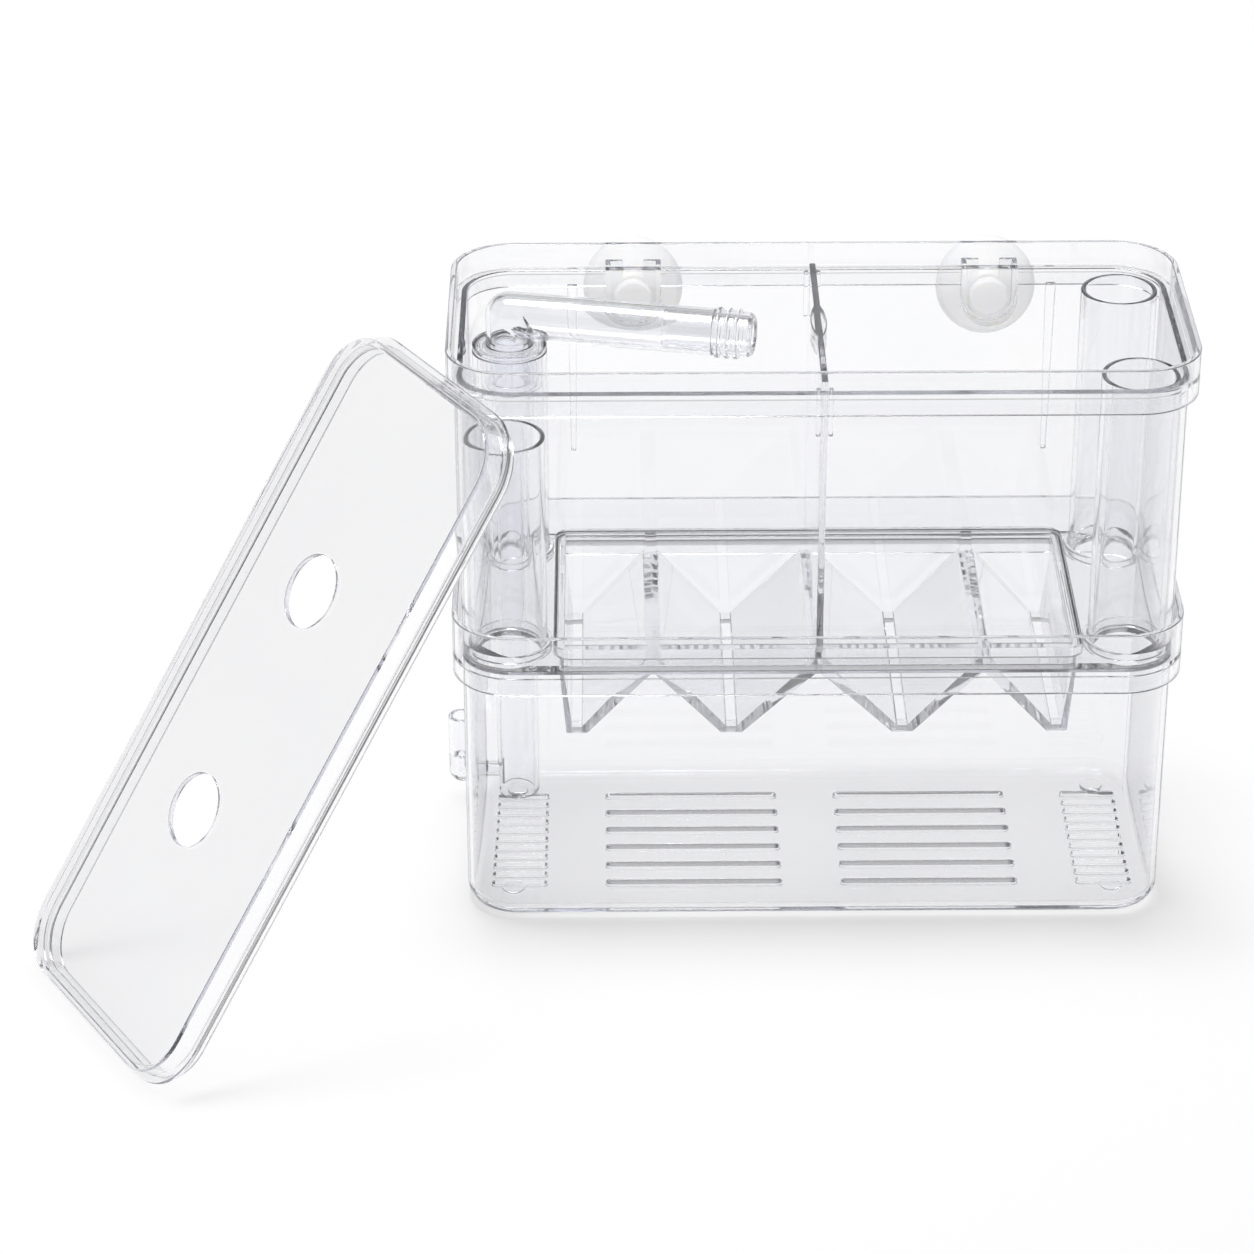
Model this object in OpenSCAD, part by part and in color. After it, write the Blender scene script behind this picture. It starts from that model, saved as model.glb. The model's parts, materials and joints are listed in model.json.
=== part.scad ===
// Two-layer fish breeding box in clear plastic.
// Lower tank, upper tank, V hatching tray, divider, lid, suction cups
// and an air-lift outlet. Millimetres, +Z up, front towards -Y.

/* [Tank outline] */
// width of the rim bands of both tanks
rim_w = 200; // [190:1:210]
// depth of the rim bands, front to back
rim_d = 86; // [84:1:96]
// plan corner radius of the rim bands
rim_r = 17; // [16.5:0.5:18]
// wall thickness of both tanks
wall_t = 1.6; // [1.3:0.1:1.8]
// how far a rim band stands out from the wall
rim_step = 2.8; // [2.5:0.1:3.0]

/* [Lower tank] */
// height of the lower tank to its rim
low_h = 91; // [86:1:100]
// depth of the lower ledge below the lower rim
low_ledge = 11.4; // [10:0.2:13]
// height of the lower rim band
low_band = 17.8; // [15:0.2:20]
// thickness of the lower floor
floor_t = 2.4; // [2:0.1:3]
// outer round between wall and floor
base_r = 5; // [3.5:0.5:7]

/* [Floor slots] */
// pitch of the long slots, front to back
slot_pitch = 9.5; // [8.5:0.1:9.8]
// slots in each long group
slot_rows = 6; // [4:2:6]
// length of one long slot
slot_len = 49.7; // [40:0.1:52]
// distance of the long slots from the middle
slot_in = 8.45; // [7:0.05:12]
// width of the long slots
slot_w = 2.4; // [1.6:0.1:3]
// width of the fine end slots
fine_w = 1.8; // [1.2:0.1:2.2]
// length of the fine end slots
fine_len = 15.6; // [12:0.2:16]
// gap from the fine slots to the inner wall
fine_edge = 5; // [4.5:0.1:7]
// diameter of the round floor bosses
boss_d = 6.5; // [5:0.5:8]
// height of the round floor bosses
boss_h = 0.8; // [0.4:0.1:1.2]

/* [Upper tank] */
// height of the upper tank from its foot to its rim
up_h = 90.4; // [86:0.2:100]
// depth of the upper ledge below the upper rim
up_ledge = 6.8; // [6:0.2:8]
// height of the upper rim band
up_band = 12.8; // [11:0.2:15]
// thickness of the upper floor
deck_t = 1.6; // [1.2:0.1:2]
// height of the two ribs on the back wall
rib_h = 50; // [40:1:60]
// distance of the back ribs from the middle
rib_x = 66.8; // [64:0.2:69]
// width of a back rib at its top
rib_w = 2.8; // [2:0.1:3.5]
// width of a back rib at its foot
rib_foot = 1.4; // [1:0.1:2]

/* [Corner tubes] */
// outer radius of the corner tubes
tube_r = 10.5; // [9.5:0.1:10.8]
// wall thickness of the corner tubes
tube_t = 1.3; // [1:0.1:1.6]
// top of the right tubes below the upper rim
tall_drop = 8; // [7:0.2:12]
// top of the left tubes below the upper rim
low_drop = 25.2; // [24:0.2:34]
// wall of the socket rings around the tube feet
ring_t = 1.2; // [1:0.1:1.4]
// height of the socket rings
ring_h = 2.6; // [2:0.2:3.2]

/* [Hatching tray] */
// height of the tray flange above the upper floor
flange_h = 3.2; // [2.4:0.2:4]
// how far the tray flange laps the upper floor
flange_lap = 1.6; // [1.2:0.1:2]
// spacing of the tray ridges
ridge_p = 45.1; // [44:0.1:45.5]
// offset of the inner troughs from the middle
trough_x1 = 23.5; // [22:0.1:24.5]
// offset of the outer troughs from the middle
trough_x2 = 66.0; // [64:0.1:66]
// depth of the troughs below the ridges
trough_h = 22; // [16:0.5:24]
// wall thickness of the tray
tray_t = 1.5; // [1.2:0.1:1.8]
// width of the slits in the trough bottoms
slit_w = 2.6; // [2:0.1:3]
// length left closed at each slit end
slit_end = 4; // [3:0.5:8]

/* [Divider] */
// thickness of the divider plate
div_t = 1.8; // [1.4:0.1:2.4]
// top of the divider below the upper rim
div_drop = 4.5; // [4:0.1:6]
// length of the lens-shaped finger grip
grip_l = 26; // [20:1:30]
// width of the finger grip
grip_w = 4.6; // [4:0.1:5.5]
// height of the finger grip
grip_h = 6; // [4:0.5:9]
// length of the guide rails in the upper tank
rail_h = 13.5; // [10:0.5:20]
// thickness of one guide rail rib
rail_t = 1.2; // [1:0.1:1.5]
// how far the guide rails stand out from the wall
rail_d = 1.9; // [1.6:0.1:2.1]

/* [Air-lift outlet] */
// outer radius of the riser pipe
riser_r = 6.6; // [6:0.1:6.8]
// wall thickness of the riser pipe
riser_t = 1.3; // [1.1:0.1:1.6]
// thickness of the plug flange
plug_t = 1.8; // [1.4:0.1:2.4]
// length of the plug skirt in the tube
plug_l = 10; // [8:0.5:14]
// outer radius of the spout pipe
spout_r = 6.5; // [6:0.1:6.8]
// wall thickness of the spout pipe
spout_t = 1.2; // [1:0.1:1.5]
// height of the spout axis above the plug flange
spout_z = 8.5; // [8:0.1:10]
// length of the spout from the riser axis to its end
spout_l = 69; // [55:0.5:70]
// length of the ribbed spout end
tip_l = 11; // [9:0.5:14]
// turn of the spout to the front at rest
spout_a = 12; // [6:1:16]
// length of the ribbed end's spigot inside the spout
tip_spigot = 14; // [8:0.5:16]
// length of the spout's foot inside the riser
spigot_l = 11; // [8:0.5:14]

/* [Air inlet] */
// outer radius of the air socket
inlet_r = 3.9; // [3.7:0.1:4.2]
// bore radius of the air socket
inlet_bore = 2.55; // [2.4:0.05:2.6]
// height of the socket mouth above the base
inlet_top = 27.4; // [24:0.2:32]
// depth of the socket bore
inlet_deep = 12.8; // [10:0.2:13]
// height of the nozzle axis above the base
nozzle_z = 9.6; // [9:0.1:11]
// outer radius of the nozzle
nozzle_r = 2.2; // [2:0.1:2.4]
// bore radius of the nozzle
nozzle_bore = 1.2; // [0.8:0.1:1.4]

/* [Suction cups] */
// distance of the cups from the middle
cup_x = 49.8; // [46:0.2:56]
// radius of a suction cup
cup_r = 14; // [12:0.5:16]
// depth of a suction cup from neck to glass
cup_l = 6.4; // [5:0.2:8]
// radius of the cup head held in the pocket
head_r = 5.5; // [5:0.1:6]
// thickness of the cup head
head_t = 2.2; // [1.8:0.1:2.6]
// radius of the cup neck
neck_r = 2.5; // [2.2:0.1:2.8]
// height of the cup axis below the upper rim
cup_drop = 17; // [16:0.2:20]
// wall of the cup pockets
pocket_t = 1.5; // [1.2:0.1:1.8]
// droop of the soft cup bell below its head
cup_droop = 12; // [0:1:15]

/* [Lid] */
// thickness of the lid flange
lid_flange = 1.5; // [1.2:0.1:2]
// height of the raised lid panel above the rim
lid_h = 7.1; // [5:0.1:7.5]
// inset of the raised panel from the flange edge
lid_inset = 2.2; // [2:0.1:2.6]
// thickness of the lid panel
lid_t = 1.8; // [1.5:0.1:2.2]
// depth of the lip that goes into the rim
lip_h = 2.9; // [1.5:0.1:2.9]
// radius of the two feeding holes
hole_r = 10.1; // [8:0.1:12]
// distance of the feeding holes from the middle
hole_x = 33.4; // [25:0.1:45]
// height of the leaning lid's end below the upper rim
lean_drop = 4.4; // [2:0.2:9]
// heading of the leaning lid
lean_h = 31.2; // [30:0.1:33]
// gap between the leaning lid and the tank corner
lean_gap = 0.3; // [0.2:0.1:2]

/* [Clearances] */
// gap around a sliding fit
fit_gap = 0.3; // [0.25:0.05:0.35]
// gap of a close running fit
run_gap = 0.1; // [0.05:0.01:0.1]

/* [Hidden] */
$fn = 96;
e = 0.01;

// outlines shared by both tanks
out_w = rim_w - 2*rim_step;
out_d = rim_d - 2*rim_step;
out_r = rim_r - rim_step;
in_w = out_w - 2*wall_t;
in_d = out_d - 2*wall_t;
in_r = out_r - wall_t;
bay_w = rim_w - 2*wall_t;
bay_d = rim_d - 2*wall_t;
bay_r = rim_r - wall_t;

// heights
ledge_z = low_h - low_ledge;
deck_z = ledge_z + deck_t;
top_z = ledge_z + up_h;
shelf_z = top_z - up_ledge;
band_z = top_z - up_band;

// corner tubes: the corner tubes sit in the round of the wall
tube_gap = 0.2;
tube_off = (in_r - tube_r - tube_gap) / sqrt(2);
tube_x = in_w/2 - in_r + tube_off;
tube_y = in_d/2 - in_r + tube_off;
tube_in = tube_r - tube_t;
tall_z = top_z - tall_drop;
short_z = top_z - low_drop;
ring_r = tube_r + run_gap + ring_t;

// tray
tray_w = 2*(tube_x - ring_r - fit_gap);
tray_d = in_d - 2*(rail_d + fit_gap + 0.8);
body_w = tray_w - 2*flange_lap;
body_d = tray_d - 2*flange_lap;
hole_w = body_w + 2*fit_gap;
hole_d = body_d + 2*fit_gap;
tray_r = 3;
ridge_z = deck_z - 2.2;
ridge_flat = 4.2;
post_w = 3.4;
post_t = 1.2;

// divider
div_top = top_z - div_drop;
rail_z = shelf_z - rail_h;
div_slot = div_t + 0.4;
grip_arc = (grip_l*grip_l/4 + grip_w*grip_w/4) / grip_w;

// outlet
plug_z = short_z + plug_t;
axis_z = plug_z + spout_z;
spout_in = spout_r - spout_t;
riser_in = riser_r - riser_t;
spigot_in = riser_in - run_gap - 1.1;
riser_z = floor_t + 0.6;

// inlet: the socket stands off the left wall
inlet_x = out_w/2 + inlet_bore + 0.35;
nozzle_end = tube_x + riser_r - riser_t;
slot_z = nozzle_z + nozzle_r + fit_gap;

// cups
cup_z = top_z - cup_drop;
pock_r = head_r + 0.8;
pock_y0 = rim_d/2;
pock_deep = head_t + 2*fit_gap;
pock_y1 = pock_y0 + pock_deep;
pock_y2 = pock_y1 + pocket_t;
head_y = pock_y0 + fit_gap;
bell_r = neck_r + 2.2;
cup_y = pock_y2 + fit_gap + bell_r*sin(cup_droop);

// lid: its foot edge stands on the base plane, its far end leans on the
// round corner of the upper rim band
lip_gap = 0.4;
panel_in = lid_inset + 1.6;
lean_a = asin((top_z - lean_drop) / rim_w);
lip_far = rim_w/2 + bay_w/2 - lip_gap;
lean_reach = lip_far*cos(lean_a) + lip_h*sin(lean_a) + lean_gap;
foot_x = -(rim_w/2 - rim_r) - (rim_r + lean_reach)*cos(lean_h);
foot_y = -(rim_d/2 - rim_r) - (rim_r + lean_reach)*sin(lean_h);

module rrect(w, d, r) {
  square([w - 2*r, d], center = true);
  square([w, d - 2*r], center = true);
  for (sx = [-1, 1], sy = [-1, 1])
    translate([sx*(w/2 - r), sy*(d/2 - r)])
      circle(r = r);
}

module rbox(w, d, r, z0, z1) {
  translate([0, 0, z0])
    linear_extrude(z1 - z0)
      rrect(w, d, r);
}

// section with rounded lower corners
module base_prof(w, h, f) {
  translate([-w/2, f])
    square([w, h - f]);
  translate([-w/2 + f, 0])
    square([w - 2*f, h]);
  for (s = [-1, 1])
    translate([s*(w/2 - f), f])
      circle(r = f);
}

module base_round(r, h, f) {
  rotate_extrude() {
    translate([0, f])
      square([r, h - f]);
    square([r - f, h]);
    intersection() {
      translate([r - f, f])
        circle(r = f);
      translate([0, 0])
        square([r, h]);
    }
  }
}

// block with rounded plan corners and a rounded lower edge
module base_block(w, d, r, h, f) {
  rotate([90, 0, 0])
    linear_extrude(d - 2*r, center = true)
      base_prof(w, h, f);
  rotate([90, 0, 90])
    linear_extrude(w - 2*r, center = true)
      base_prof(d, h, f);
  for (sx = [-1, 1], sy = [-1, 1])
    translate([sx*(w/2 - r), sy*(d/2 - r), 0])
      base_round(r, h, f);
}

// rim: ledge plate, upstanding band and hanging skirt
module rim(z_top, ledge, band) {
  difference() {
    rbox(rim_w, rim_d, rim_r, z_top - band, z_top);
    rbox(bay_w, bay_d, bay_r, z_top - ledge, z_top + 1);
    rbox(in_w, in_d, in_r, z_top - band - 1, z_top + 1);
    difference() {
      rbox(bay_w, bay_d, bay_r, z_top - band - 1, z_top - ledge - wall_t);
      rbox(out_w, out_d, out_r, z_top - band - 2, z_top);
    }
  }
}

module slot(x0, x1, y, w, z0, z1) {
  translate([0, y, z0])
    linear_extrude(z1 - z0) {
      translate([x0 + w/2, -w/2])
        square([x1 - x0 - w, w]);
      translate([x0 + w/2, 0])
        circle(d = w);
      translate([x1 - w/2, 0])
        circle(d = w);
    }
}

module lower_tank() {
  color([0.86, 0.88, 0.95, 0.35])
  difference() {
    union() {
      difference() {
        base_block(out_w, out_d, out_r, ledge_z, base_r);
        translate([0, 0, floor_t])
          base_block(in_w, in_d, in_r, ledge_z, base_r - wall_t);
      }
      rim(low_h, low_ledge, low_band);
      for (sx = [-1, 1], sy = [-1, 1])
        translate([sx*tube_x, sy*tube_y, floor_t - 0.5])
          cylinder(d = boss_d, h = boss_h + 0.5);
    }
    // long slots
    for (s = [-1, 1], k = [0 : slot_rows - 1]) {
      y = (k - (slot_rows - 1)/2)*slot_pitch;
      if (s > 0)
        slot(slot_in, slot_in + slot_len, y, slot_w, -1, floor_t + 1);
      else
        slot(-slot_in - slot_len, -slot_in, y, slot_w, -1, floor_t + 1);
    }
    // fine end slots
    for (s = [-1, 1], k = [0 : 2*slot_rows - 2]) {
      y = (k - (slot_rows - 1))*slot_pitch/2;
      x1 = in_w/2 - fine_edge;
      if (s > 0)
        slot(x1 - fine_len, x1, y, fine_w, -1, floor_t + 1);
      else
        slot(-x1, fine_len - x1, y, fine_w, -1, floor_t + 1);
    }
    // port for the air nozzle
    translate([-out_w/2 - 1, tube_y, nozzle_z])
      rotate([0, 90, 0])
        cylinder(r = nozzle_r + run_gap, h = wall_t + 4);
  }
}

module air_inlet() {
  color([0.8, 0.84, 0.95, 0.6])
  translate([0, tube_y, 0])
  difference() {
    union() {
      intersection() {
        union() {
          translate([-inlet_x, 0, nozzle_z])
            cylinder(r = inlet_r, h = inlet_top - nozzle_z);
          translate([-inlet_x, 0, nozzle_z])
            sphere(r = inlet_r);
          translate([-inlet_x, -inlet_r, nozzle_z])
            cube([inlet_r, 2*inlet_r, inlet_top - nozzle_z]);
          translate([-inlet_x, 0, nozzle_z])
            rotate([0, 90, 0])
              cylinder(r = inlet_r, h = inlet_r);
        }
        translate([-out_w/2 - 30, -20, -20])
          cube([30, 40, 80]);
      }
      translate([-out_w/2 - 1, 0, nozzle_z])
        rotate([0, 90, 0])
          cylinder(r = nozzle_r, h = out_w/2 + 1 - nozzle_end);
    }
    translate([-inlet_x, 0, inlet_top - inlet_deep])
      cylinder(r = inlet_bore, h = inlet_deep + 1);
    translate([-inlet_x, 0, nozzle_z])
      cylinder(r = nozzle_bore, h = inlet_deep);
    translate([-inlet_x, 0, nozzle_z])
      rotate([0, 90, 0])
        cylinder(r = nozzle_bore, h = inlet_x);
  }
}

// U outline of a cup pocket, in x and z
module pocket_u(r) {
  circle(r = r);
  translate([-r, 0])
    square([2*r, shelf_z - cup_z]);
}

module cup_pocket(s) {
  translate([s*cup_x, 0, cup_z]) {
    difference() {
      translate([0, pock_y2, 0])
        rotate([90, 0, 0])
          linear_extrude(pock_y2 - out_d/2 + 0.4)
            pocket_u(pock_r + pocket_t);
      translate([0, pock_y1, 0])
        rotate([90, 0, 0])
          linear_extrude(pock_y1 - pock_y0)
            translate([0, 0])
              pocket_u(pock_r);
      translate([0, pock_y2 + 1, 0])
        rotate([90, 0, 0])
          linear_extrude(pocket_t + 1.2)
            pocket_u(neck_r + 0.4);
      translate([-pock_r, pock_y0, shelf_z - cup_z - e])
        cube([2*pock_r, pock_y1 - pock_y0, 1]);
    }
  }
}

module back_rib(s) {
  translate([s*rib_x, rim_d/2 - 0.6, 0])
    rotate([90, 0, 0])
      linear_extrude(rim_step + 0.2 - 0.6)
        polygon([[-rib_w/2, band_z + 1], [rib_w/2, band_z + 1],
          [rib_foot/2, band_z - rib_h], [-rib_foot/2, band_z - rib_h]]);
}

module upper_tank() {
  color([0.87, 0.89, 0.96, 0.3])
  difference() {
    union() {
      difference() {
        rbox(out_w, out_d, out_r, ledge_z, shelf_z);
        rbox(in_w, in_d, in_r, deck_z, shelf_z + 1);
      }
      rim(top_z, up_ledge, up_band);
      // socket rings of the corner tubes
      difference() {
        for (sx = [-1, 1], sy = [-1, 1])
          translate([sx*tube_x, sy*tube_y, deck_z - 0.5])
            cylinder(r = ring_r, h = ring_h + 0.5);
        for (sx = [-1, 1], sy = [-1, 1])
          translate([sx*tube_x, sy*tube_y, deck_z])
            cylinder(r = tube_r + run_gap, h = ring_h + 1);
      }
      // guide rails of the divider
      for (sx = [-1, 1], sy = [-1, 1])
        translate([sx*(div_slot/2 + rail_t/2), sy*(in_d/2 - rail_d/2 + 0.25), 0])
          translate([-rail_t/2, -rail_d/2 - 0.25, rail_z])
            cube([rail_t, rail_d + 0.5, rail_h]);
      for (s = [-1, 1])
        cup_pocket(s);
      for (s = [-1, 1])
        back_rib(s);
    }
    // well of the hatching tray
    rbox(hole_w, hole_d, tray_r + fit_gap, ledge_z - 1, deck_z + 1);
    // openings under the corner tubes
    for (sx = [-1, 1], sy = [-1, 1])
      translate([sx*tube_x, sy*tube_y, ledge_z - 1])
        cylinder(r = tube_in - 0.4, h = deck_t + 2);
  }
}

module corner_tube(sx, sy, z1) {
  color([0.84, 0.87, 0.95, 0.35])
  translate([sx*tube_x, sy*tube_y, deck_z])
    difference() {
      cylinder(r = tube_r, h = z1 - deck_z);
      translate([0, 0, -1])
        cylinder(r = tube_in, h = z1 - deck_z + 2);
    }
}

module tube_left_back() { corner_tube(-1, 1, short_z); }
module tube_left_front() { corner_tube(-1, -1, short_z); }
module tube_right_back() { corner_tube(1, 1, tall_z); }
module tube_right_front() { corner_tube(1, -1, tall_z); }

// outside of the troughs in x and z
module trough_outer() {
  zb = ridge_z - trough_h;
  bw = slit_w/2 + 1.6;
  polygon([
    [-body_w/2, deck_z + 1], [-body_w/2, ridge_z - 3],
    [-trough_x2 - bw, zb], [-trough_x2 + bw, zb],
    [-ridge_p, ridge_z - tray_t - 1], [-trough_x1 - bw, zb], [-trough_x1 + bw, zb],
    [0, ridge_z - tray_t - 1], [trough_x1 - bw, zb], [trough_x1 + bw, zb],
    [ridge_p, ridge_z - tray_t - 1], [trough_x2 - bw, zb], [trough_x2 + bw, zb],
    [body_w/2, ridge_z - 3], [body_w/2, deck_z + 1]]);
}

// inside of the troughs in x and z
module trough_inner() {
  zb = ridge_z - trough_h + tray_t;
  hw = ridge_flat/2;
  bw = slit_w/2;
  iw = body_w/2 - tray_t;
  polygon([
    [-iw, deck_z + 5], [-iw, ridge_z - 3],
    [-trough_x2 - bw, zb], [-trough_x2 + bw, zb],
    [-ridge_p - hw, ridge_z], [-ridge_p + hw, ridge_z],
    [-trough_x1 - bw, zb], [-trough_x1 + bw, zb],
    [-hw, ridge_z], [hw, ridge_z],
    [trough_x1 - bw, zb], [trough_x1 + bw, zb],
    [ridge_p - hw, ridge_z], [ridge_p + hw, ridge_z],
    [trough_x2 - bw, zb], [trough_x2 + bw, zb],
    [iw, ridge_z - 3], [iw, deck_z + 5]]);
}

module hatch_tray() {
  color([0.82, 0.85, 0.96, 0.45])
  difference() {
    union() {
      difference() {
        union() {
          intersection() {
            rotate([90, 0, 0])
              linear_extrude(body_d, center = true)
                trough_outer();
            rbox(body_w, body_d, tray_r, 0, top_z);
          }
          rbox(tray_w, tray_d, tray_r + flange_lap, deck_z, deck_z + flange_h);
        }
        rotate([90, 0, 0])
          linear_extrude(body_d - 2*tray_t, center = true)
            trough_inner();
      }
      // posts over the ends of the side ridges
      for (sx = [-1, 1], sy = [-1, 1])
        translate([sx*ridge_p, sy*(body_d/2 - tray_t - post_t/2 + 0.25), 0])
          translate([-post_w/2, -post_t/2 - 0.25, ridge_z - 0.5])
            cube([post_w, post_t + 0.5, deck_z + flange_h - ridge_z + 0.5]);
    }
    // slits
    for (x = [-trough_x2, -trough_x1, trough_x1, trough_x2])
      translate([x, 0, ridge_z - trough_h - 1])
        linear_extrude(tray_t + 3)
          square([slit_w, body_d - 2*slit_end - 2*tray_t], center = true);
  }
}

module divider() {
  low_d = body_d - 2*tray_t - 2*fit_gap;
  up_d = in_d - 2*fit_gap;
  step_z = deck_z + flange_h + fit_gap;
  color([0.8, 0.83, 0.94, 0.5])
  union() {
    translate([-div_t/2, -low_d/2, ridge_z])
      cube([div_t, low_d, step_z - ridge_z + 1]);
    translate([-div_t/2, -up_d/2, step_z])
      cube([div_t, up_d, div_top - step_z]);
    intersection() {
      translate([grip_arc - grip_w/2, 0, div_top - grip_h])
        cylinder(r = grip_arc, h = grip_h);
      translate([grip_w/2 - grip_arc, 0, div_top - grip_h])
        cylinder(r = grip_arc, h = grip_h);
    }
  }
}

module outlet_plug() {
  hub_r = riser_r + run_gap;
  skirt_r = tube_in - run_gap;
  color([0.84, 0.86, 0.94, 0.55])
  translate([-tube_x, tube_y, 0])
    difference() {
      union() {
        translate([0, 0, short_z])
          cylinder(r = tube_r - 0.1, h = plug_t);
        translate([0, 0, short_z - plug_l])
          cylinder(r = skirt_r, h = plug_l + 0.1);
      }
      translate([0, 0, short_z - plug_l - 1])
        cylinder(r = hub_r, h = plug_l + plug_t + 2);
      translate([0, 0, short_z - plug_l - 1])
        difference() {
          cylinder(r = skirt_r - 0.9, h = plug_l + 1);
          translate([0, 0, -1])
            cylinder(r = hub_r + 0.9, h = plug_l + 3);
        }
    }
}

module riser_pipe() {
  color([0.82, 0.85, 0.95, 0.5])
  translate([-tube_x, tube_y, 0])
    difference() {
      translate([0, 0, riser_z])
        cylinder(r = riser_r, h = plug_z - riser_z);
      translate([0, 0, riser_z - 1])
        cylinder(r = riser_in, h = plug_z - riser_z + 2);
      // open slot that drops over the air nozzle
      translate([-riser_r - 1, -nozzle_r - fit_gap, riser_z - 1])
        cube([riser_r + 1, 2*(nozzle_r + fit_gap), slot_z - riser_z + 1]);
    }
}

module at_spout() {
  translate([-tube_x, tube_y, axis_z])
    rotate([0, 0, -spout_a])
      children();
}

module spout_pipe() {
  color([0.8, 0.84, 0.96, 0.55])
  at_spout()
    difference() {
      union() {
        sphere(r = spout_r);
        translate([0, 0, -spout_z])
          cylinder(r = spout_r, h = spout_z);
        translate([0, 0, -spout_z - spigot_l])
          cylinder(r = riser_in - run_gap, h = spigot_l + 0.5);
        rotate([0, 90, 0])
          cylinder(r = spout_r, h = spout_l - tip_l);
      }
      sphere(r = spout_in);
      translate([0, 0, -spout_z + 1.5])
        cylinder(r = spout_in, h = spout_z - 1.5);
      translate([0, 0, -spout_z - spigot_l - 1])
        cylinder(r = spigot_in, h = spigot_l + spout_z);
      rotate([0, 90, 0])
        cylinder(r = spout_in, h = spout_l);
    }
}

module spout_tip() {
  color([0.8, 0.84, 0.95, 0.6])
  at_spout()
    translate([spout_l - tip_l, 0, 0])
      rotate([0, 90, 0])
        difference() {
          union() {
            cylinder(r = spout_r - 0.3, h = tip_l - 1.2);
            translate([0, 0, tip_l - 1.2])
              cylinder(r1 = spout_r - 0.3, r2 = spout_r - 1.3, h = 1.2);
            for (k = [0 : 2])
              translate([0, 0, 0.6 + 2.6*k])
                cylinder(r = spout_r + 0.5, h = 1.2);
            translate([0, 0, -tip_spigot])
              cylinder(r = spout_in - 0.05, h = tip_spigot + 0.1);
          }
          translate([0, 0, -tip_spigot - 1])
            cylinder(r = spout_in - 1.1, h = tip_l + tip_spigot + 3);
        }
}

module suction_cup(s) {
  neck_y = head_y + head_t;
  color([0.94, 0.94, 0.92, 0.8])
  translate([s*cup_x, 0, cup_z]) {
    rotate([-90, 0, 0])
      rotate_extrude()
        polygon([[0, head_y], [head_r - 0.6, head_y], [head_r, head_y + 0.6],
          [head_r, neck_y], [neck_r, neck_y], [neck_r, cup_y + 1],
          [0, cup_y + 1]]);
    translate([0, cup_y, 0])
      rotate([-90 - cup_droop, 0, 0])
        rotate_extrude()
          polygon([[0, 0], [bell_r, 0], [bell_r + 1.4, 1.2],
            [cup_r - 1.4, cup_l - 1.9], [cup_r, cup_l - 0.5],
            [cup_r, cup_l], [cup_r - 1.6, cup_l - 0.6],
            [cup_r*0.5, cup_l - 2.6], [0, cup_l - 3.2]]);
  }
}

module suction_cup_left() { suction_cup(-1); }
module suction_cup_right() { suction_cup(1); }

// lid as it lies on the rim, with the rim's top at z = 0
module lid_flat() {
  ow = rim_w - 2*lid_inset;
  od = rim_d - 2*lid_inset;
  iw = rim_w - 2*panel_in;
  id = rim_d - 2*panel_in;
  lw = bay_w - 2*lip_gap;
  ld = bay_d - 2*lip_gap;
  difference() {
    union() {
      rbox(rim_w, rim_d, rim_r, 0, lid_flange);
      rbox(ow, od, rim_r - lid_inset, 0, lid_h);
      rbox(lw, ld, bay_r - lip_gap, -lip_h, 0.5);
    }
    rbox(iw, id, rim_r - panel_in, -lip_h - 1, lid_h - lid_t);
    for (s = [-1, 1])
      translate([s*hole_x, 0, 0])
        cylinder(r = hole_r, h = lid_h + 1);
  }
}

module lid() {
  color([0.93, 0.94, 0.97, 0.45])
  translate([foot_x, foot_y, 0])
    rotate([0, 0, lean_h])
      rotate([0, -lean_a, 0])
        translate([rim_w/2, 0, 0])
          lid_flat();
}

lower_tank();
air_inlet();
upper_tank();
tube_left_back();
tube_left_front();
tube_right_back();
tube_right_front();
hatch_tray();
divider();
outlet_plug();
riser_pipe();
spout_pipe();
spout_tip();
suction_cup_left();
suction_cup_right();
lid();
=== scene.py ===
"""Clear two-layer fish breeding box, dressed for Blender.

Every rigid piece is shown by a copy whose outer edges are rounded, in a clear
moulded plastic. The two soft suction cups keep the shape that the CAD gives
them. A white floor, one soft lamp and a pale studio stand around the box.
"""
import json
import math

import bmesh
import bpy
from mathutils import Matrix, Vector

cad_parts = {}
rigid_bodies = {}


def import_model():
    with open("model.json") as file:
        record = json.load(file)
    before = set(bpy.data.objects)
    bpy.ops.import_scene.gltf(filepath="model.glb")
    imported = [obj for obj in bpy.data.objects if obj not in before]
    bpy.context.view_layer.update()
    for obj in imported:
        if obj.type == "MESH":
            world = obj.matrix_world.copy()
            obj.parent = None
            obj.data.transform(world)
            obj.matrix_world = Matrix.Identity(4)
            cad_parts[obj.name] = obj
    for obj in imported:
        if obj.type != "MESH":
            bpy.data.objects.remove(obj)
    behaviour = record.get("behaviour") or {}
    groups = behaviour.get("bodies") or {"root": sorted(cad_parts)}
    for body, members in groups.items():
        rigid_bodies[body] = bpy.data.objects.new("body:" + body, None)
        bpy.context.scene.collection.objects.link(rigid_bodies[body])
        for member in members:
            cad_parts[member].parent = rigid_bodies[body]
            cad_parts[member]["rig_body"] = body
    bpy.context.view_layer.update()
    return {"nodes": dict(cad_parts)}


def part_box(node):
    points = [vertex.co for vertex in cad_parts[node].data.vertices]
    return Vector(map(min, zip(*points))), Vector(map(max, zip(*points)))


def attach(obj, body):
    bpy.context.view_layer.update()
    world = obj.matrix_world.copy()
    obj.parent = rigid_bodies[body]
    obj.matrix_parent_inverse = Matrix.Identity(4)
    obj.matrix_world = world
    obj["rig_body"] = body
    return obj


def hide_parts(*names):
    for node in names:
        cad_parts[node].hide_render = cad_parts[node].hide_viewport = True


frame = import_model()

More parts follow.
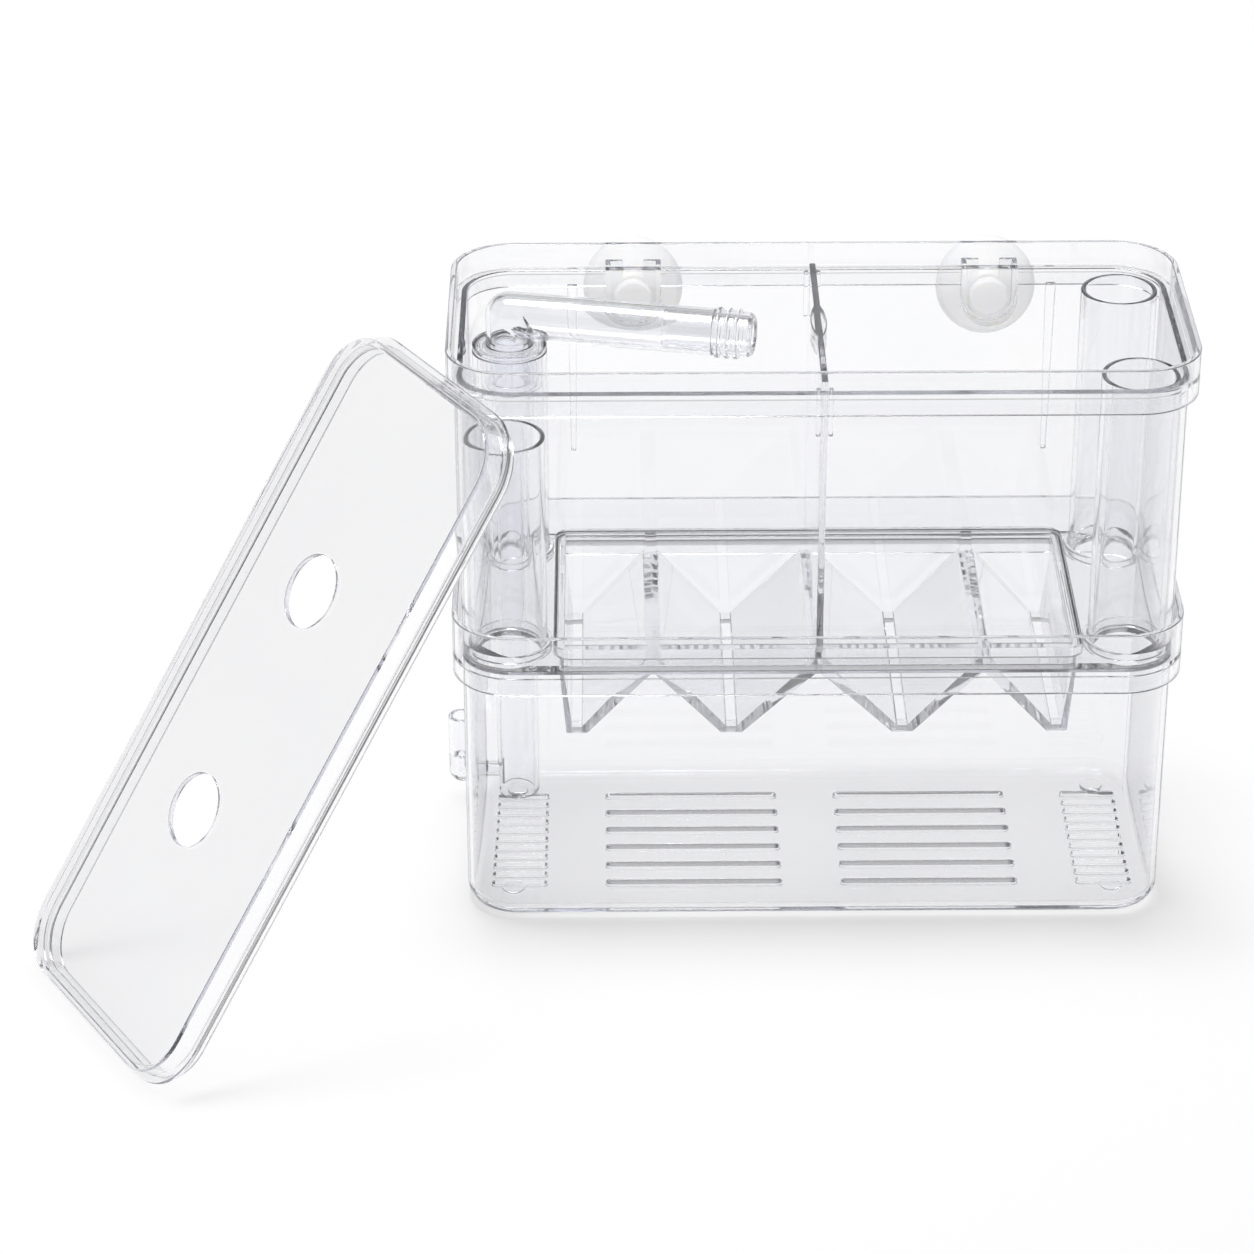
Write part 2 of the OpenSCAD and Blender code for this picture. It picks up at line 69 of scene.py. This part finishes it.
NODES = frame["nodes"]
MM = 0.001
WHITE = (1.0, 1.0, 1.0)


def in_scene(name, data):
    """A new object that is part of the scene."""
    obj = bpy.data.objects.new(name, data)
    bpy.context.scene.collection.objects.link(obj)
    return obj


# ------------------------------------------------------------ camera
# The photograph's viewpoint, fitted to the box's own straight edges.
PITCH = math.radians(28.713)   # looking down
YAW = math.radians(0.263)      # towards +X
ROLL = math.radians(-0.163)
CAM_AT = Vector((-0.056761, -1.040872, 0.641483))
LENS_MM = 121.38
SENSOR_MM = 36.0
CLIP_NEAR = 0.05
CLIP_FAR = 60.0


def make_camera():
    """The scene's camera, turned by its pitch, yaw and roll."""
    forward = Vector((math.sin(YAW) * math.cos(PITCH),
                      math.cos(YAW) * math.cos(PITCH), -math.sin(PITCH)))
    level = Vector((math.cos(YAW), -math.sin(YAW), 0.0))
    above = level.cross(forward)
    right = level * math.cos(ROLL) + above * math.sin(ROLL)
    up = above * math.cos(ROLL) - level * math.sin(ROLL)
    data = bpy.data.cameras.new("camera")
    data.lens = LENS_MM
    data.sensor_width = SENSOR_MM
    data.sensor_fit = "HORIZONTAL"
    data.clip_start = CLIP_NEAR
    data.clip_end = CLIP_FAR
    camera = in_scene("camera", data)
    turn = Matrix((right, up, -forward)).transposed()
    camera.matrix_world = Matrix.Translation(CAM_AT) @ turn.to_4x4()
    bpy.context.scene.camera = camera


make_camera()


# ------------------------------------------------------------ node helpers
# The Mix node's sockets share their names, so they go by number: the two
# values, and the result.
MIX_SOCKETS = {"FLOAT": (2, 3, 0), "RGBA": (6, 7, 2)}
EVEN_BLEND = 0.5   # Layer Weight's Facing is then 1 less the angle's cosine


class Tree:
    """Short calls that fill the node tree of a material or a world."""

    def __init__(self, owner):
        owner.use_nodes = True
        self.tree = owner.node_tree
        self.tree.nodes.clear()

    def put(self, socket, value):
        """Links a node's output to a socket, or sets the socket's constant."""
        if isinstance(value, bpy.types.NodeSocket):
            self.tree.links.new(value, socket)
        elif socket.type == "RGBA":
            socket.default_value = (*value, 1.0)
        else:
            socket.default_value = value

    def add(self, kind, inputs=None, **settings):
        """A new node. inputs holds values by a socket's name or number."""
        node = self.tree.nodes.new(kind)
        for key, value in settings.items():
            setattr(node, key, value)
        for key, value in (inputs or {}).items():
            self.put(node.inputs[key], value)
        return node

    def math(self, operation, *values):
        return self.add("ShaderNodeMath", dict(enumerate(values)),
                        operation=operation).outputs["Value"]

    def ramp(self, value, low, high, at_low, at_high):
        """Runs from at_low to at_high as value goes from low to high."""
        return self.add("ShaderNodeMapRange", {
            "Value": value, "From Min": low, "From Max": high,
            "To Min": at_low, "To Max": at_high}).outputs["Result"]

    def mix(self, kind, factor, a, b):
        """a where factor is 0 and b where it is 1."""
        first, second, result = MIX_SOCKETS[kind]
        return self.add("ShaderNodeMix",
                        {"Factor": factor, first: a, second: b},
                        data_type=kind).outputs[result]

    def mix_shader(self, factor, a, b):
        """Shader a where factor is 0, and shader b where it is 1."""
        return self.add("ShaderNodeMixShader",
                        {0: factor, 1: a, 2: b}).outputs["Shader"]

    def noise(self, place, scale, detail, rough):
        return self.add("ShaderNodeTexNoise", {
            "Vector": place, "Scale": scale, "Detail": detail,
            "Roughness": rough}).outputs["Fac"]

    def bump(self, height, strength, distance):
        return self.add("ShaderNodeBump", {
            "Height": height, "Strength": strength,
            "Distance": distance}).outputs["Normal"]

    def place(self, space):
        """Where a point is, or for a world in which direction."""
        return self.add("ShaderNodeTexCoord").outputs[space]

    def xyz(self, vector):
        return self.add("ShaderNodeSeparateXYZ", {"Vector": vector}).outputs

    def path(self):
        """What kind of ray asks."""
        return self.add("ShaderNodeLightPath").outputs

    def facing(self):
        """0 where a surface is seen square on, 1 where it is seen edge on."""
        return self.add("ShaderNodeLayerWeight",
                        {"Blend": EVEN_BLEND}).outputs["Facing"]


def new_material(name):
    mat = bpy.data.materials.new(name)
    return mat, Tree(mat)


# ------------------------------------------------------------ clear plastic
# A noise is (scale, detail, roughness), and its span is the part of its range
# that is used.
PLASTIC_IOR = 1.49
MELT_NOISE = (24.0, 3.0, 0.55)       # faint clouding of the melt
MELT_SPAN = (0.35, 0.68)
MARK_NOISE = (420.0, 2.0, 0.6)       # fine handling marks
MARK_SPAN = (0.4, 0.75)
WAVE_DETAIL, WAVE_ROUGH = 1.0, 0.4   # slow waviness of a moulded wall
WAVE_HEIGHT = 1.2 * MM
EDGE_SHADE_SPAN = (0.72, 1.0)              # facing, where the painted edge shade comes in
ABSORB_COLOUR = (0.58, 0.585, 0.7)

# Share of a lamp's light that one crossing of a wall lets through.
LAMP_SQUARE = 0.992        # crossed square on
LAMP_GRAZED = 0.88         # grazed, high up or far back
GRAZE_SPAN = (0.66, 0.96)  # facing, where a crossing turns into grazing
# Low down and in front a grazed wall lets less through, which gives the box
# its contact shadow. The span is of the height, with each metre further back
# counted as two metres up.
BACK_AS_HEIGHT = 2.0
FOOT_SPAN = (-0.07, 0.07)


def bending_plastic(t, coord, facing, tint, deep, edge, rough, wave,
                    wave_scale):
    """The plastic for the rays that are seen: it bends and mirrors, with a
    painted shade where a wall is seen edge on.
    """
    melt = t.mix("RGBA",
                 t.ramp(t.noise(coord, *MELT_NOISE), *MELT_SPAN, 0.0, 1.0),
                 tint, deep)
    return t.add("ShaderNodeBsdfPrincipled", {
        "Transmission Weight": 1.0,
        "IOR": PLASTIC_IOR,
        # painted shade: the base colour turns to the edge colour where the
        # wall is seen edge on, standing in for the dark lines along its edges
        "Base Color": t.mix("RGBA", t.ramp(facing, *EDGE_SHADE_SPAN, 0.0, 1.0),
                            melt, edge),
        "Roughness": t.ramp(t.noise(coord, *MARK_NOISE), *MARK_SPAN, *rough),
        "Normal": t.bump(t.noise(coord, wave_scale, WAVE_DETAIL, WAVE_ROUGH),
                         wave, WAVE_HEIGHT),
    }).outputs["BSDF"]


def passing_light(t, coord, facing, lamp_foot):
    """The plastic for lamps and bounced light, which go straight through."""
    _, y, z = t.xyz(coord)
    height = t.math("ADD", z, t.math("MULTIPLY", y, BACK_AS_HEIGHT))
    grazed = t.ramp(height, *FOOT_SPAN, lamp_foot, LAMP_GRAZED)
    lost = t.math("MULTIPLY", t.ramp(facing, *GRAZE_SPAN, 0.0, 1.0),
                  t.math("SUBTRACT", LAMP_SQUARE, grazed))
    return t.add("ShaderNodeBsdfTransparent", {
        "Color": t.math("SUBTRACT", LAMP_SQUARE, lost)}).outputs["BSDF"]


def clear_plastic(name, tint, deep, edge=(0.1, 0.1, 0.15),
                  rough=(0.012, 0.04), wave=0.06, wave_scale=38.0,
                  absorb=7.0, lamp_foot=0.35):
    """Clear moulded plastic.

    tint and deep are the two colours of the melt, and edge is a painted
    shade: the colour that a wall takes where it is seen edge on, standing in
    for the dark lines along its edges. rough runs from polished to marked.
    wave and wave_scale are the strength and the fineness of the walls'
    waviness. absorb darkens long ways through the wall, per metre.
    lamp_foot is the share of light that a grazed wall lets through at the
    box's foot, where LAMP_GRAZED holds further up.
    """
    mat, t = new_material(name)
    coord = t.place("Object")
    facing = t.facing()
    path = t.path()
    volume = t.add("ShaderNodeVolumeAbsorption",
                   {"Color": ABSORB_COLOUR, "Density": absorb})
    t.add("ShaderNodeOutputMaterial", {
        "Surface": t.mix_shader(
            t.math("MAXIMUM", path["Is Shadow Ray"], path["Is Diffuse Ray"]),
            bending_plastic(t, coord, facing, tint, deep, edge, rough, wave,
                            wave_scale),
            passing_light(t, coord, facing, lamp_foot)),
        "Volume": volume.outputs["Volume"],
    })
    return mat


# ------------------------------------------------------------ silicone
SILICONE_IOR = 1.41
MILK = (0.99, 0.98, 0.958)
MILK_DEEP = (0.975, 0.962, 0.935)
MILK_NOISE = (90.0, 3.0, 0.6)
MILK_SPAN = (0.35, 0.7)
SCATTER_REACH = 2.0 * MM
SCATTER = (1.0, 0.95, 0.85)          # share of it for red, green and blue
SKIN_NOISE = (900.0, 2.0, 0.5)
SKIN_SPAN = (0.3, 0.75)
SKIN_ROUGH = (0.3, 0.5)
SKIN_WAVE = 0.12
SKIN_HEIGHT = 0.4 * MM
SILICONE_SHADOW = (0.9, 0.9, 0.89)   # lamplight that one crossing lets through


def silicone(name):
    """Milky soft silicone of the suction cups."""
    mat, t = new_material(name)
    coord = t.place("Object")
    cloud = t.noise(coord, *MILK_NOISE)
    skin = t.add("ShaderNodeBsdfPrincipled", {
        "IOR": SILICONE_IOR,
        "Subsurface Weight": 1.0,
        "Subsurface Radius": SCATTER,
        "Subsurface Scale": SCATTER_REACH,
        "Base Color": t.mix("RGBA", t.ramp(cloud, *MILK_SPAN, 0.0, 1.0),
                            MILK, MILK_DEEP),
        "Roughness": t.ramp(t.noise(coord, *SKIN_NOISE), *SKIN_SPAN,
                            *SKIN_ROUGH),
        "Normal": t.bump(cloud, SKIN_WAVE, SKIN_HEIGHT),
    })
    through = t.add("ShaderNodeBsdfTransparent", {"Color": SILICONE_SHADOW})
    t.add("ShaderNodeOutputMaterial", {
        "Surface": t.mix_shader(t.path()["Is Shadow Ray"],
                                skin.outputs["BSDF"],
                                through.outputs["BSDF"])})
    return mat


# ------------------------------------------------------------ materials
# Each edge colour below is a painted shade, laid where a wall is seen edge on.
tank = clear_plastic("tank_clear",
                     (0.963, 0.964, 0.969), (0.952, 0.954, 0.961),
                     lamp_foot=0.06)
tray = clear_plastic("tray_clear",
                     (0.985, 0.987, 0.996), (0.97, 0.973, 0.988),
                     edge=(0.4, 0.4, 0.48), wave=0.07, wave_scale=55.0,
                     absorb=4.0)
plate = clear_plastic("plate_clear",
                      (0.985, 0.987, 0.996), (0.97, 0.973, 0.988),
                      edge=(0.9, 0.9, 0.98), wave=0.07, wave_scale=55.0,
                      absorb=1.5)
tube = clear_plastic("tube_clear",
                     (0.972, 0.973, 0.979), (0.958, 0.959, 0.967),
                     wave=0.05, wave_scale=30.0, absorb=5.0)
pipe = clear_plastic("pipe_clear",
                     (0.985, 0.987, 0.995), (0.97, 0.973, 0.988),
                     wave_scale=60.0)
cover = clear_plastic("lid_clear",
                      (0.99, 0.99, 0.992), (0.982, 0.983, 0.988),
                      rough=(0.015, 0.05), wave=0.05, wave_scale=22.0,
                      absorb=9.0)
inlet = clear_plastic("inlet_clear",
                      (0.98, 0.982, 0.992), (0.965, 0.968, 0.985),
                      wave=0.08, wave_scale=90.0, absorb=10.0)
cup = silicone("cup_soft")

LOOK = {
    "lower_tank": tank, "upper_tank": tank, "air_inlet": inlet,
    "tube_left_back": tube, "tube_left_front": tube,
    "tube_right_back": tube, "tube_right_front": tube,
    "hatch_tray": tray, "divider": plate,
    "outlet_plug": pipe, "riser_pipe": pipe,
    "spout_pipe": pipe, "spout_tip": pipe,
    "suction_cup_left": cup, "suction_cup_right": cup, "lid": cover,
}


def paint(obj, mat):
    obj.data.materials.clear()
    obj.data.materials.append(mat)


for node, mat in LOOK.items():
    paint(NODES[node], mat)


# ------------------------------------------------------------ rounded edges
WELD = 0.003 * MM
FLAT_ANGLE = math.radians(0.5)     # faces that turn less are one flat face
SHARP_ANGLE = math.radians(32.0)   # edges that turn more are real edges
ROUND_STEPS = 3
LARGE_FACES_LEAD = 100             # Weighted Normal's weight for that
ROUND_MM = {
    "lower_tank": 0.35, "upper_tank": 0.35, "air_inlet": 0.3,
    "tube_left_back": 0.4, "tube_left_front": 0.4,
    "tube_right_back": 0.4, "tube_right_front": 0.4,
    "hatch_tray": 0.25, "divider": 0.45,
    "outlet_plug": 0.35, "riser_pipe": 0.35,
    "spout_pipe": 0.35, "spout_tip": 0.3, "lid": 0.5,
}
AXES = (Vector((1.0, 0.0, 0.0)), Vector((0.0, 1.0, 0.0)),
        Vector((0.0, 0.0, 1.0)))


def middle(node):
    low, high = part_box(node)
    return (low + high) / 2.0


def cut_places(node):
    """Planes that split every ring-shaped face of a node."""
    places = [(axis, middle(node)[axis]) for axis in range(3)]
    if node.endswith("_tank"):
        # through the corner tubes' axes, which lie the same on both sides
        at = middle("tube_right_back")
        places += [(axis, side * at[axis]) for axis in range(2)
                   for side in (-1.0, 1.0)]
    return places


def joined_faces(node):
    """The node's mesh with whole flat faces, cut only where rings need it."""
    bm = bmesh.new()
    bm.from_mesh(NODES[node].data)
    bmesh.ops.remove_doubles(bm, verts=bm.verts, dist=WELD)
    for edge in bm.edges:
        edge.seam = False
    for axis, at in cut_places(node):
        cut = bmesh.ops.bisect_plane(
            bm, geom=bm.verts[:] + bm.edges[:] + bm.faces[:], dist=WELD,
            plane_co=AXES[axis] * at, plane_no=AXES[axis])
        for part in cut["geom_cut"]:
            if isinstance(part, bmesh.types.BMEdge):
                part.seam = True
    bmesh.ops.dissolve_limit(bm, angle_limit=FLAT_ANGLE, verts=bm.verts,
                             edges=bm.edges, delimit={"SEAM"})
    return bm


def applied(piece):
    """Replaces a piece's mesh with the one that its modifiers make."""
    shown = bpy.context.evaluated_depsgraph_get()
    piece.data = bpy.data.meshes.new_from_object(piece.evaluated_get(shown),
                                                 depsgraph=shown)
    piece.modifiers.clear()


def unrounded(node):
    """A copy of a CAD node whose outer edges are marked for rounding."""
    bm = joined_faces(node)
    weight = bm.edges.layers.float.new("bevel_weight_edge")
    for edge in bm.edges:
        if edge.calc_face_angle_signed(0.0) > SHARP_ANGLE:
            edge[weight] = 1.0
    mesh = bpy.data.meshes.new(node + "_moulded")
    bm.to_mesh(mesh)
    bm.free()
    return in_scene(node + "_moulded", mesh)


def round_edges(piece, radius):
    bevel = piece.modifiers.new("round", "BEVEL")
    bevel.width = radius
    bevel.segments = ROUND_STEPS
    bevel.limit_method = "WEIGHT"
    bevel.use_clamp_overlap = False
    bevel.loop_slide = False
    bevel.miter_outer = "MITER_ARC"
    applied(piece)


def smooth_shading(piece):
    """Shades the rounded edges smooth, flat faces flat and corners sharp."""
    bm = bmesh.new()
    bm.from_mesh(piece.data)
    for face in bm.faces:
        face.smooth = True
    for edge in bm.edges:
        edge.seam = False
        edge.smooth = edge.calc_face_angle(0.0) < SHARP_ANGLE
    bm.to_mesh(piece.data)
    bm.free()
    flat = piece.modifiers.new("flat", "WEIGHTED_NORMAL")
    flat.weight = LARGE_FACES_LEAD
    flat.keep_sharp = True
    applied(piece)


def moulded(node, radius):
    """Shows a CAD node with rounded outer edges, as they leave a mould."""
    piece = unrounded(node)
    round_edges(piece, radius)
    smooth_shading(piece)
    piece.data.name = node + "_moulded"
    paint(piece, LOOK[node])
    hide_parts(node)
    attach(piece, NODES[node]["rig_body"])


for node, radius_mm in ROUND_MM.items():
    moulded(node, radius_mm * MM)


# ------------------------------------------------------------ floor
FLOOR_HALF = 14.0         # metres
FLOOR_DROP = 0.2 * MM     # so that it doesn't coincide with the box's foot
FLOOR_PAINT = (0.78, 0.78, 0.785)
FLOOR_GLOW = 0.26         # brings the painted floor up to white where seen
FLOOR_GLOW_FAR = 0.66     # where less of the lamp's light reaches it
GLOW_SPAN = (0.25, 2.6)   # metres from the box


def seen_in_plastic(t, path):
    """1 for the rays that the plastic mirrors or bends, 0 for others."""
    return t.math("MAXIMUM", path["Is Glossy Ray"],
                  path["Is Transmission Ray"])


def floor_paint():
    """Matt white, which glows for the rays that are seen."""
    mat, t = new_material("floor_white")
    path = t.path()
    seen = t.math("MAXIMUM", path["Is Camera Ray"], seen_in_plastic(t, path))
    away = t.add("ShaderNodeVectorMath", {0: t.place("Object")},
                 operation="LENGTH").outputs["Value"]
    diffuse = t.add("ShaderNodeBsdfDiffuse", {"Color": FLOOR_PAINT})
    glow = t.add("ShaderNodeEmission", {
        "Color": WHITE,
        "Strength": t.math("MULTIPLY", seen,
                           t.ramp(away, *GLOW_SPAN, FLOOR_GLOW,
                                  FLOOR_GLOW_FAR))})
    both = t.add("ShaderNodeAddShader", {0: diffuse.outputs["BSDF"],
                                         1: glow.outputs["Emission"]})
    t.add("ShaderNodeOutputMaterial", {"Surface": both.outputs["Shader"]})
    return mat


def make_floor():
    mesh = bpy.data.meshes.new("floor")
    corners = ((-1, -1), (1, -1), (1, 1), (-1, 1))
    mesh.from_pydata([(x * FLOOR_HALF, y * FLOOR_HALF, -FLOOR_DROP)
                      for x, y in corners], [], [(0, 1, 2, 3)])
    floor = in_scene("floor", mesh)
    mesh.materials.append(floor_paint())


make_floor()


# ------------------------------------------------------------ lamp
KEY_AT = Vector((-0.2, 0.16, 1.6))
KEY_SIZE = 0.6
KEY_WATTS = 14.8


def make_key():
    """A soft lamp almost overhead, aimed at the box's foot."""
    data = bpy.data.lights.new("key", "AREA")
    data.shape = "SQUARE"
    data.size = KEY_SIZE
    data.energy = KEY_WATTS
    key = in_scene("key", data)
    key.location = KEY_AT
    key.rotation_euler = (-KEY_AT).to_track_quat("-Z", "Y").to_euler()


make_key()


# ------------------------------------------------------------ studio
# Spans of Z and Y are of the direction that a ray leaves in, whose length is
# 1: Z is 1 straight up, and Y is -1 towards the front.
DOME_SPAN = (0.1, 0.9)           # Z
DOME_LOW, DOME_HIGH = 0.44, 0.304   # its strength at the span's two ends
FRONT_LIGHT = 1.84               # a wide soft light low in front
FRONT_SPAN = (-0.3, -0.85)       # Y, from its side to its middle
FRONT_TOP_SPAN = (0.2, 0.6)      # Z, where it fades upwards

OVERHEAD_SPAN = (0.3, 0.8)       # Z
HORIZON, OVERHEAD = 0.8, 0.08       # strength at the span's two ends
LINE_AT = 0.2                    # Z of the dark line
LINE_SPAN = (0.03, 0.08)         # Z from its middle, where it fades
LINE_DARK = 0.65                 # share of the strength that it takes away
FLAG_COUNT = 8.0
FLAG_SPAN = (-0.45, -0.95)       # cosine, from a flag's side to its middle
FLAG_DARK = 0.78                 # share of the strength that they take away


def soft_light(t, y, z):
    """What lights the surfaces: an even dome and the light in front."""
    dome = t.ramp(z, *DOME_SPAN, DOME_LOW, DOME_HIGH)
    front = t.math("MULTIPLY",
                   t.ramp(y, *FRONT_SPAN, 0.0, FRONT_LIGHT),
                   t.ramp(z, *FRONT_TOP_SPAN, 1.0, 0.0))
    return t.math("ADD", dome, front)


def flags(t, x, y):
    """Narrow dark flags around the object, between the main views."""
    heading = t.math("ARCTAN2", x, y)
    wave = t.math("COSINE", t.math("MULTIPLY", heading, FLAG_COUNT))
    return t.ramp(wave, *FLAG_SPAN, 0.0, 1.0)


def backdrop(t, x, y, z):
    """What the plastic mirrors and bends: pale low down, dark overhead.

    A thin dark line above the horizon draws the rims and bores, and the
    flags draw the upright edges.
    """
    height = t.ramp(z, *OVERHEAD_SPAN, HORIZON, OVERHEAD)
    line = t.ramp(t.math("ABSOLUTE", t.math("SUBTRACT", z, LINE_AT)),
                  *LINE_SPAN, LINE_DARK, 0.0)
    lined = t.math("MULTIPLY", height, t.math("SUBTRACT", 1.0, line))
    flagged = t.math("SUBTRACT", 1.0,
                     t.math("MULTIPLY", FLAG_DARK, flags(t, x, y)))
    return t.math("MULTIPLY", lined, flagged)


def make_world():
    """The studio, white where the camera sees it."""
    world = bpy.data.worlds.new("studio")
    bpy.context.scene.world = world
    t = Tree(world)
    path = t.path()
    x, y, z = t.xyz(t.place("Generated"))
    light = t.mix("FLOAT", seen_in_plastic(t, path),
                  soft_light(t, y, z), backdrop(t, x, y, z))
    back = t.add("ShaderNodeBackground", {
        "Color": WHITE,
        "Strength": t.mix("FLOAT", path["Is Camera Ray"], light, 1.0)})
    t.add("ShaderNodeOutputWorld", {"Surface": back.outputs["Background"]})


make_world()

scene = bpy.context.scene
scene.view_settings.view_transform = "Standard"
# a ray crosses many thin walls before it has left the box
scene.cycles.max_bounces = 64
scene.cycles.transmission_bounces = 48
scene.cycles.glossy_bounces = 48
scene.cycles.transparent_max_bounces = 40
scene.cycles.caustics_refractive = False
scene.cycles.caustics_reflective = False
